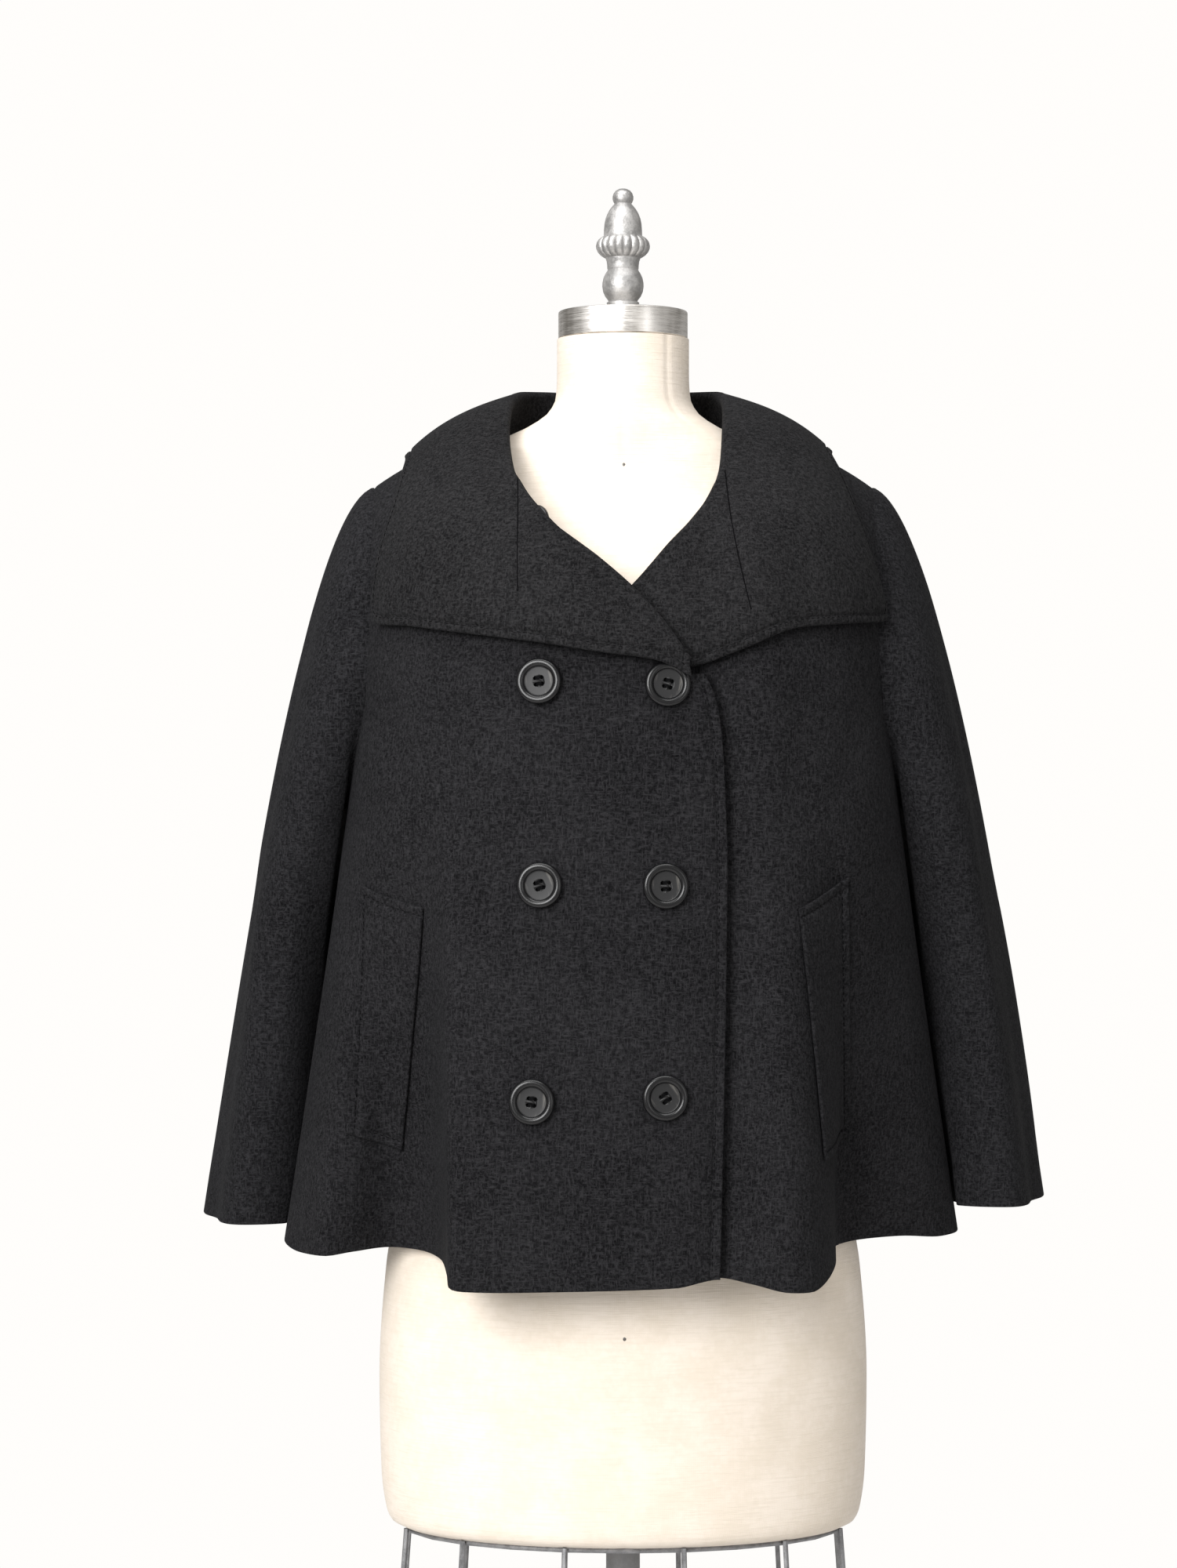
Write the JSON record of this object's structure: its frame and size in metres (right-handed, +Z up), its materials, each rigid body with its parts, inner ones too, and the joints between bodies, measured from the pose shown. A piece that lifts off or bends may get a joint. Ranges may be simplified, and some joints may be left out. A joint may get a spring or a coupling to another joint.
{
  "type": "coat on dress form",
  "caption": "Short double-breasted swing coat in charcoal wool with a wide turned-back collar and bell sleeves, worn by a limbless dress form on a round base.",
  "frame": {"origin": "centre of the round base's flat underside", "axes": "+Z up along the pole, -Y towards the coat's front, +X towards the wearer's left"},
  "size_m": [0.6395, 0.3818, 1.5799],
  "materials": {
    "charcoal_wool": "thick napped melton, matt",
    "black_button": "polished rim with a matt centre",
    "cream_linen": "plain woven linen, matt",
    "cap_steel": "brushed round the cap",
    "finial_silver": "worn silver paint",
    "grey_wire": "grey paint on round wire",
    "base_iron": "grey paint on iron"
  },
  "bodies": {
    "root": {"coat_back": "charcoal_wool", "coat_front_left": "charcoal_wool", "coat_front_right": "charcoal_wool", "coat_sleeve_left": "charcoal_wool", "coat_sleeve_right": "charcoal_wool", "coat_collar_left": "charcoal_wool", "coat_collar_right": "charcoal_wool", "coat_welt_left": "charcoal_wool", "coat_welt_right": "charcoal_wool", "coat_button_1": "black_button", "coat_button_2": "black_button", "coat_button_3": "black_button", "coat_button_4": "black_button", "coat_button_5": "black_button", "coat_button_6": "black_button", "coat_button_inner": "black_button", "form_torso": "cream_linen", "form_neck_cap": "cap_steel", "form_finial": "finial_silver", "form_cage_ring_top": "grey_wire", "form_cage_ring_low": "grey_wire", "form_pole": "grey_wire", "form_cage_wire_01": "grey_wire", "form_cage_wire_02": "grey_wire", "form_cage_wire_03": "grey_wire", "form_cage_wire_04": "grey_wire", "form_cage_wire_05": "grey_wire", "form_cage_wire_06": "grey_wire", "form_cage_wire_07": "grey_wire", "form_cage_wire_08": "grey_wire", "form_cage_wire_09": "grey_wire", "form_cage_wire_10": "grey_wire", "form_cage_wire_11": "grey_wire", "form_cage_wire_12": "grey_wire", "form_base": "base_iron"}
  },
  "joints": []
}
